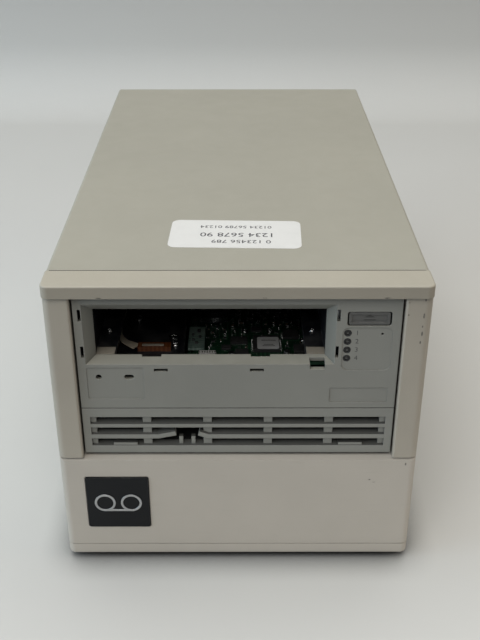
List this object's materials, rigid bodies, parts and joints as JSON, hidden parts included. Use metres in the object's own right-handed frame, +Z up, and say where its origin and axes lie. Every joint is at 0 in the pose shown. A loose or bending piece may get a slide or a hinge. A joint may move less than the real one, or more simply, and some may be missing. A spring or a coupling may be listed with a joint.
{
  "type": "data tape drive",
  "caption": "Free-standing single-bay cartridge tape drive: beige desktop enclosure, grey louvred drive front with an open cartridge slot, eject key and status lamps.",
  "frame": {"origin": "on the floor under the middle of the enclosure", "axes": "+X to the right seen from the front, +Y from the front towards the rear, +Z up"},
  "size_m": [0.1754, 0.3192, 0.158],
  "materials": {
    "housing_beige": "fine textured warm grey-beige moulding, satin",
    "cover_paint": "fine textured warm grey-beige paint",
    "badge_dark": "near-black satin badge",
    "bezel_grey": "mid grey moulded plastic, fine texture",
    "key_grey": "darker grey moulded key",
    "zinc_sheet": "zinc-plated sheet",
    "rubber_black": "matt black",
    "screw_steel": "bright plated",
    "black_plastic": "black moulding",
    "key_white": "white moulded keys",
    "port_metal": "nickel-plated shell",
    "ribbon_grey": "grey flat cable",
    "light_pipe": "smoky translucent pipe",
    "board_green": "green solder mask",
    "chip_black": "moulded chip packages",
    "deck_black": "black anodised casting",
    "motor_steel": "turned steel can",
    "hub_grey": "grey moulded hub and gear",
    "pad_pale": "pale moulded slide pad",
    "flex_tan": "pale flat flex cable",
    "film_amber": "amber film cable"
  },
  "bodies": {
    "root": {"badge_plate": "badge_dark", "base_tray": "zinc_sheet", "board_components": "chip_black", "carriage_rails": "deck_black", "data_ports": "port_metal", "data_ribbon": "ribbon_grey", "deck_pins": "screw_steel", "deck_plate": "deck_black", "deck_posts": "screw_steel", "drive_bezel": "bezel_grey", "drive_chassis": "zinc_sheet", "drive_fan_frame": "black_plastic", "drive_grille": "bezel_grey", "drive_rear_connectors": "black_plastic", "drive_shelf": "zinc_sheet", "drive_top_cover": "zinc_sheet", "enclosure_fan_frame": "black_plastic", "enclosure_screws": "screw_steel", "film_connector": "film_amber", "flex_cable": "flex_tan", "front_cap": "housing_beige", "front_frame": "zinc_sheet", "front_panel_board": "board_green", "id_switch_body": "black_plastic", "led_light_pipes": "light_pipe", "left_pillar": "housing_beige", "loader_motor": "motor_steel", "lower_front_panel": "housing_beige", "main_board": "board_green", "port_jackscrews": "screw_steel", "power_inlet": "black_plastic", "power_lead": "rubber_black", "power_supply_case": "zinc_sheet", "power_switch_frame": "black_plastic", "rear_panel": "zinc_sheet", "reel_motor": "motor_steel", "right_pillar": "housing_beige", "rubber_feet": "rubber_black", "side_brackets": "zinc_sheet", "take_up_motor": "motor_steel", "top_cover": "cover_paint"},
    "eject_button": {"eject_button": "key_grey"},
    "power_rocker": {"power_rocker": "black_plastic"},
    "id_plus_button": {"id_plus_button": "key_white"},
    "id_minus_button": {"id_minus_button": "key_white"},
    "id_number_wheel": {"id_number_wheel": "key_white"},
    "enclosure_fan_rotor": {"enclosure_fan_rotor": "black_plastic"},
    "drive_fan_rotor": {"drive_fan_rotor": "black_plastic"},
    "supply_hub": {"supply_hub": "hub_grey"},
    "take_up_reel": {"take_up_reel": "black_plastic"},
    "loader_gear": {"loader_gear": "hub_grey"},
    "carriage": {"cartridge_carriage": "deck_black", "carriage_pads": "pad_pale"},
    "guide_roller_front": {"guide_roller_front": "motor_steel"},
    "guide_roller_rear": {"guide_roller_rear": "motor_steel"},
    "head_leadscrew": {"head_leadscrew": "screw_steel"},
    "head_block": {"head_block": "motor_steel"},
    "threading_arm": {"threading_arm": "motor_steel"}
  },
  "joints": [
    {"name": "eject_press", "type": "slide", "parent": "root", "child": "eject_button", "axis": [0, 1, 0], "range_m": [0, 0.0015], "stiffness_N_per_m": 300},
    {"name": "power_rocker_tilt", "type": "hinge", "parent": "root", "child": "power_rocker", "pos_m": [0.012, 0.1476, 0.035], "axis": [0, 0, 1], "range_deg": [-16, 0]},
    {"name": "id_plus_press", "type": "slide", "parent": "root", "child": "id_plus_button", "axis": [0, -1, 0], "range_m": [0, 0.0012], "stiffness_N_per_m": 250},
    {"name": "id_minus_press", "type": "slide", "parent": "root", "child": "id_minus_button", "axis": [0, -1, 0], "range_m": [0, 0.0012], "stiffness_N_per_m": 250},
    {"name": "id_wheel_turn", "type": "hinge", "parent": "root", "child": "id_number_wheel", "pos_m": [0.038, 0.1471, 0.081], "axis": [1, 0, 0], "continuous": true},
    {"name": "enclosure_fan_spin", "type": "hinge", "parent": "root", "child": "enclosure_fan_rotor", "pos_m": [-0.038, 0.1504, 0.107], "axis": [0, 1, 0], "continuous": true},
    {"name": "drive_fan_spin", "type": "hinge", "parent": "root", "child": "drive_fan_rotor", "pos_m": [-0.0507, 0.0769, 0.08895], "axis": [0, 1, 0], "continuous": true},
    {"name": "supply_hub_spin", "type": "hinge", "parent": "root", "child": "supply_hub", "pos_m": [-0.01275, -0.0674, 0.102], "axis": [0, 0, 1], "continuous": true},
    {"name": "take_up_spin", "type": "hinge", "parent": "root", "child": "take_up_reel", "pos_m": [-0.01275, 0.0066, 0.102], "axis": [0, 0, 1], "continuous": true},
    {"name": "loader_gear_turn", "type": "hinge", "parent": "root", "child": "loader_gear", "pos_m": [0.05225, -0.0824, 0.1148], "axis": [0, 0, 1], "range_deg": [-143.24, 0]},
    {"name": "carriage_load", "type": "slide", "parent": "root", "child": "carriage", "axis": [0, 1, 0], "range_m": [0, 0.02]},
    {"name": "front_roller_spin", "type": "hinge", "parent": "root", "child": "guide_roller_front", "pos_m": [-0.0625, -0.0244, 0.102], "axis": [0, 0, 1], "continuous": true},
    {"name": "rear_roller_spin", "type": "hinge", "parent": "root", "child": "guide_roller_rear", "pos_m": [-0.0625, 0.0316, 0.102], "axis": [0, 0, 1], "continuous": true},
    {"name": "head_screw_turn", "type": "hinge", "parent": "root", "child": "head_leadscrew", "pos_m": [-0.066, -0.0014, 0.102], "axis": [0, 0, 1], "range_deg": [0, 1080]},
    {"name": "head_lift", "type": "slide", "parent": "root", "child": "head_block", "axis": [0, 0, 1], "range_m": [0, 0.006]},
    {"name": "threading_swing", "type": "hinge", "parent": "root", "child": "threading_arm", "pos_m": [0.048, -0.0284, 0.124], "axis": [0, 0, 1], "range_deg": [-62, 0]}
  ],
  "couplings": [
    {"joint": "loader_gear_turn", "follows": "carriage_load", "rad_per_m": -125},
    {"joint": "head_screw_turn", "follows": "head_lift", "rad_per_m": 3141.6}
  ]
}
